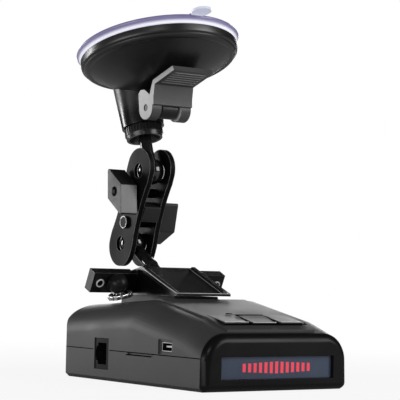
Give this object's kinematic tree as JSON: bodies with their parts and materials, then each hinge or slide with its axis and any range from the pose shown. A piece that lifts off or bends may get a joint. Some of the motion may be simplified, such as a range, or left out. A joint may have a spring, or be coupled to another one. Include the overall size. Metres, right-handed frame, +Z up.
{
  "type": "radar detector with windscreen mount",
  "caption": "Low wedge-shaped radar detector case held under a double-ball arm and a lever-locked suction cup for a windscreen",
  "frame": {"origin": "centre of the case's flat underside", "axes": "+Z up out of the case's roof, -Y the way the display faces, +Y the way the horn antenna looks, -X the side with the power jack and the USB socket"},
  "size_m": [0.0778, 0.1352, 0.1695],
  "materials": {
    "shell": "moulded fine matt texture, charcoal",
    "bezel": "smooth semi-gloss black front frame",
    "display_glass": "slate blue smoked window over the display",
    "display": "dark display with coral signal bars",
    "circuit_board": "green solder-masked board",
    "tin": "tinned steel sheet",
    "horn_cast": "die-cast zinc-grey metal",
    "laser_filter": "deep red filter window",
    "speaker_black": "black frame with a paper cone",
    "socket": "black moulded socket",
    "key_plastic": "satin dark grey keys",
    "screw_steel": "zinc-plated steel",
    "rail_steel": "plain steel rail",
    "bracket_black": "glossy black moulding",
    "nut_chrome": "bright chrome",
    "arm_black": "satin black painted metal with bright edges",
    "knob_black": "satin black moulded knob",
    "cup_black": "high-gloss black housing",
    "collar_black": "satin black knurled nut",
    "lever_grey": "satin dark grey lever",
    "pad_clear": "translucent violet-tinted soft pad"
  },
  "bodies": {
    "case": {"bottom_cover": "shell", "top_cover": "shell", "front_bezel": "bezel", "display_window": "display_glass", "display_module": "display", "main_board": "circuit_board", "shield_can": "tin", "horn_antenna": "horn_cast", "laser_lens": "laser_filter", "speaker": "speaker_black", "power_jack": "socket", "usb_port": "tin", "key_board": "circuit_board", "case_screws": "screw_steel", "mounting_rail": "rail_steel"},
    "left_key": {"left_key": "key_plastic"},
    "centre_key": {"centre_key": "key_plastic"},
    "right_key": {"right_key": "key_plastic"},
    "bracket": {"bracket_base": "bracket_black", "bracket_plate": "bracket_black", "cross_bar": "bracket_black", "bar_screws": "screw_steel"},
    "locking_nut": {"locking_nut": "nut_chrome"},
    "lower_stud": {"lower_ball_stud": "arm_black"},
    "arm": {"left_arm_plate": "arm_black", "right_arm_plate": "arm_black", "arm_spacer": "knob_black"},
    "upper_knob": {"upper_clamp_bolt": "arm_black", "upper_wing_knob": "knob_black"},
    "lower_knob": {"lower_clamp_bolt": "arm_black", "lower_wing_knob": "knob_black"},
    "ball_rod": {"ball_rod": "arm_black"},
    "ball_seat": {"ball_seat": "collar_black"},
    "cup": {"suction_housing": "cup_black", "suction_pad": "pad_clear"},
    "collar_nut": {"collar_nut": "collar_black"},
    "pull_rod": {"pull_rod": "lever_grey"},
    "lock_lever": {"lock_lever": "lever_grey", "lever_pin": "screw_steel"}
  },
  "joints": [
    {"name": "left_key_press", "type": "slide", "parent": "case", "child": "left_key", "axis": [0, 0.319, -0.9478], "range_m": [0, 0.0005], "stiffness_N_per_m": 400},
    {"name": "centre_key_press", "type": "slide", "parent": "case", "child": "centre_key", "axis": [0, 0.319, -0.9478], "range_m": [0, 0.0005], "stiffness_N_per_m": 400},
    {"name": "right_key_press", "type": "slide", "parent": "case", "child": "right_key", "axis": [0, 0.319, -0.9478], "range_m": [0, 0.0005], "stiffness_N_per_m": 400},
    {"name": "bracket_slide", "type": "slide", "parent": "case", "child": "bracket", "axis": [0, -1, 0], "range_m": [0, 0.008]},
    {"name": "locking_nut_turn", "type": "hinge", "parent": "bracket", "child": "locking_nut", "pos_m": [-0.0254, 0.0312, 0.0433], "axis": [-0.2419, 0, 0.9703], "continuous": true},
    {"name": "stud_swivel", "type": "hinge", "parent": "bracket", "child": "lower_stud", "pos_m": [0, 0.0416, 0.0486], "axis": [0, 0.2164, 0.9763], "range_deg": [-25, 25]},
    {"name": "lower_ball_tilt", "type": "hinge", "parent": "lower_stud", "child": "arm", "pos_m": [0, 0.0588, 0.0624], "axis": [1, 0, 0], "range_deg": [-75, 50]},
    {"name": "upper_knob_turn", "type": "hinge", "parent": "arm", "child": "upper_knob", "pos_m": [0, 0.04894, 0.08671], "axis": [1, 0, 0], "continuous": true},
    {"name": "lower_knob_turn", "type": "hinge", "parent": "arm", "child": "lower_knob", "pos_m": [0, 0.05466, 0.07259], "axis": [1, 0, 0], "continuous": true},
    {"name": "upper_ball_tilt", "type": "hinge", "parent": "arm", "child": "ball_rod", "pos_m": [0, 0.0448, 0.0969], "axis": [1, 0, 0], "range_deg": [-40, 40]},
    {"name": "neck_ball_tilt", "type": "hinge", "parent": "ball_rod", "child": "ball_seat", "pos_m": [0, 0.05291, 0.12018], "axis": [1, 0, 0], "range_deg": [-15, 15]},
    {"name": "cup_swivel", "type": "hinge", "parent": "ball_seat", "child": "cup", "pos_m": [0, 0.05291, 0.12018], "axis": [0, 0.2756, 0.9613], "continuous": true},
    {"name": "collar_turn", "type": "hinge", "parent": "cup", "child": "collar_nut", "pos_m": [0, 0.05167, 0.11585], "axis": [0, 0.2756, 0.9613], "continuous": true},
    {"name": "pull_rod_lift", "type": "slide", "parent": "cup", "child": "pull_rod", "axis": [0, 0.2756, 0.9613], "range_m": [0, 0.0035]},
    {"name": "lever_swing", "type": "hinge", "parent": "pull_rod", "child": "lock_lever", "pos_m": [0, 0.0339, 0.12573], "axis": [1, 0, 0], "range_deg": [0, 95]}
  ],
  "couplings": [
    {"joint": "pull_rod_lift", "follows": "lever_swing", "m_per_rad": 0.002111}
  ]
}
